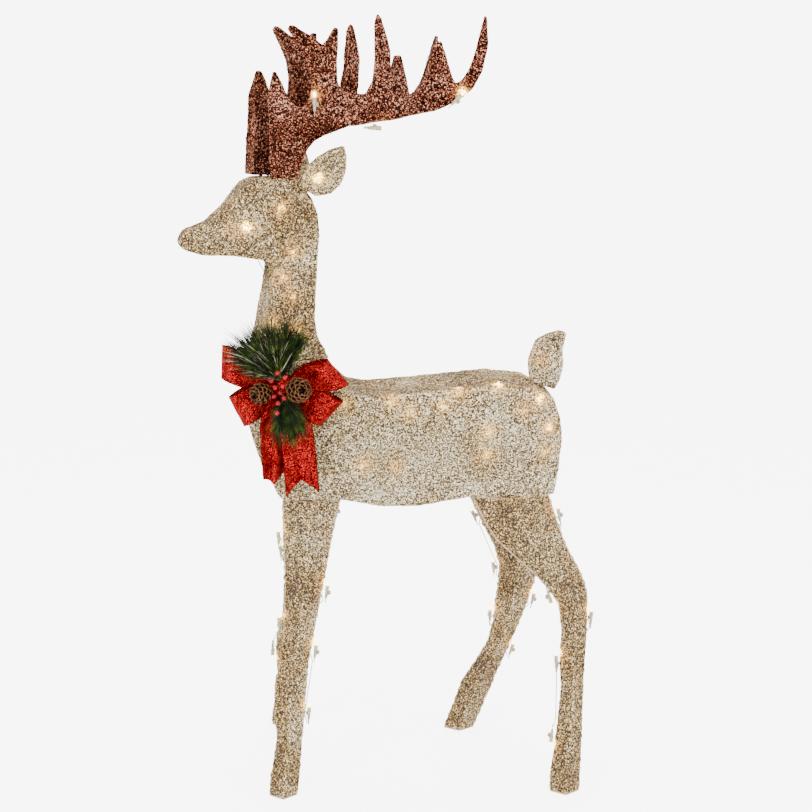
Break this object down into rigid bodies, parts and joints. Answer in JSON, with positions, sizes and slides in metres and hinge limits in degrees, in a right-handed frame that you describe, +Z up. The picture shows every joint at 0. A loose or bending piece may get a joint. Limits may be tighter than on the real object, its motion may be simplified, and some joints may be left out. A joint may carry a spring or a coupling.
{
  "type": "light-up yard reindeer",
  "caption": "Standing light-up yard reindeer of glitter-wound wire sections, with plug-in head, antlers, ears, tail and legs, and a red bow at its chest.",
  "frame": {"origin": "on the ground, at the middle of the whole deer's box", "axes": "+Z up, the deer faces -X, and its left side is -Y"},
  "size_m": [0.8126, 0.4092, 1.521],
  "materials": {
    "champagne_thread": "glitter thread wound over the frame, champagne gold",
    "bronze_thread": "glitter thread wound over the frame, copper brown",
    "gold_wire": "gold paint, satin",
    "bronze_wire": "copper brown paint, satin",
    "receiver_tube": "gold paint, satin",
    "lead_connector": "moulded",
    "light_husk": "pale moulded plastic",
    "lit_bulb": "emissive warm white",
    "lead_wire": "pale insulated wire",
    "ribbon_red": "red glitter ribbon with wired edges",
    "tie_wire": "red covered wire",
    "pine_needles": "cut film needles on twisted wire",
    "cone_scales": "dry cone scales",
    "berry_gloss": "glossy",
    "pick_stem": "twisted brown wire"
  },
  "bodies": {
    "torso": {"torso_frame": "gold_wire", "torso_wrap": "champagne_thread", "torso_receivers": "receiver_tube", "torso_lead_sockets": "lead_connector", "torso_sockets": "light_husk", "torso_bulbs": "lit_bulb", "torso_lead": "lead_wire", "bow_loops": "ribbon_red", "bow_tails": "ribbon_red", "bow_tie": "tie_wire", "pine_upper": "pine_needles", "pine_lower": "pine_needles", "pinecone_right": "cone_scales", "pinecone_left": "cone_scales", "berries": "berry_gloss", "pick_stem": "pick_stem"},
    "head": {"head_frame": "gold_wire", "head_wrap": "champagne_thread", "head_receivers": "receiver_tube", "head_sockets": "light_husk", "head_bulbs": "lit_bulb", "head_lead": "lead_wire"},
    "antler_left": {"antler_left_frame": "bronze_wire", "antler_left_wrap": "bronze_thread", "antler_left_sockets": "light_husk", "antler_left_bulbs": "lit_bulb"},
    "antler_right": {"antler_right_frame": "bronze_wire", "antler_right_wrap": "bronze_thread", "antler_right_sockets": "light_husk", "antler_right_bulbs": "lit_bulb"},
    "ear_left": {"ear_left_frame": "gold_wire", "ear_left_wrap": "champagne_thread"},
    "ear_right": {"ear_right_frame": "gold_wire", "ear_right_wrap": "champagne_thread"},
    "tail": {"tail_frame": "gold_wire", "tail_wrap": "champagne_thread"},
    "leg_front_left": {"leg_front_left_frame": "gold_wire", "leg_front_left_wrap": "champagne_thread", "leg_front_left_sockets": "light_husk", "leg_front_left_bulbs": "lit_bulb", "leg_front_left_lead": "lead_wire"},
    "leg_front_right": {"leg_front_right_frame": "gold_wire", "leg_front_right_wrap": "champagne_thread", "leg_front_right_sockets": "light_husk", "leg_front_right_bulbs": "lit_bulb", "leg_front_right_lead": "lead_wire"},
    "leg_rear_left": {"leg_rear_left_frame": "gold_wire", "leg_rear_left_wrap": "champagne_thread", "leg_rear_left_sockets": "light_husk", "leg_rear_left_bulbs": "lit_bulb", "leg_rear_left_lead": "lead_wire"},
    "leg_rear_right": {"leg_rear_right_frame": "gold_wire", "leg_rear_right_wrap": "champagne_thread", "leg_rear_right_sockets": "light_husk", "leg_rear_right_bulbs": "lit_bulb", "leg_rear_right_lead": "lead_wire"}
  },
  "joints": [
    {"name": "neck_lift", "type": "slide", "parent": "torso", "child": "head", "axis": [0, 0, 1], "range_m": [0, 0.08]},
    {"name": "antler_left_lift", "type": "slide", "parent": "head", "child": "antler_left", "axis": [0, 0, 1], "range_m": [0, 0.05]},
    {"name": "antler_right_lift", "type": "slide", "parent": "head", "child": "antler_right", "axis": [0.0723, 0.0385, 0.9966], "range_m": [0, 0.05]},
    {"name": "ear_left_pull", "type": "slide", "parent": "head", "child": "ear_left", "axis": [0.5686, -0.3667, 0.7363], "range_m": [0, 0.05]},
    {"name": "ear_right_pull", "type": "slide", "parent": "head", "child": "ear_right", "axis": [0.0686, 0.5559, 0.8284], "range_m": [0, 0.05]},
    {"name": "tail_lift", "type": "slide", "parent": "torso", "child": "tail", "axis": [0, 0, 1], "range_m": [0, 0.05]},
    {"name": "leg_front_left_pull", "type": "slide", "parent": "torso", "child": "leg_front_left", "axis": [0, 0, -1], "range_m": [0, 0.06]},
    {"name": "leg_front_right_pull", "type": "slide", "parent": "torso", "child": "leg_front_right", "axis": [0, 0, -1], "range_m": [0, 0.06]},
    {"name": "leg_rear_left_pull", "type": "slide", "parent": "torso", "child": "leg_rear_left", "axis": [0, 0, -1], "range_m": [0, 0.06]},
    {"name": "leg_rear_right_pull", "type": "slide", "parent": "torso", "child": "leg_rear_right", "axis": [0, 0, -1], "range_m": [0, 0.06]}
  ]
}
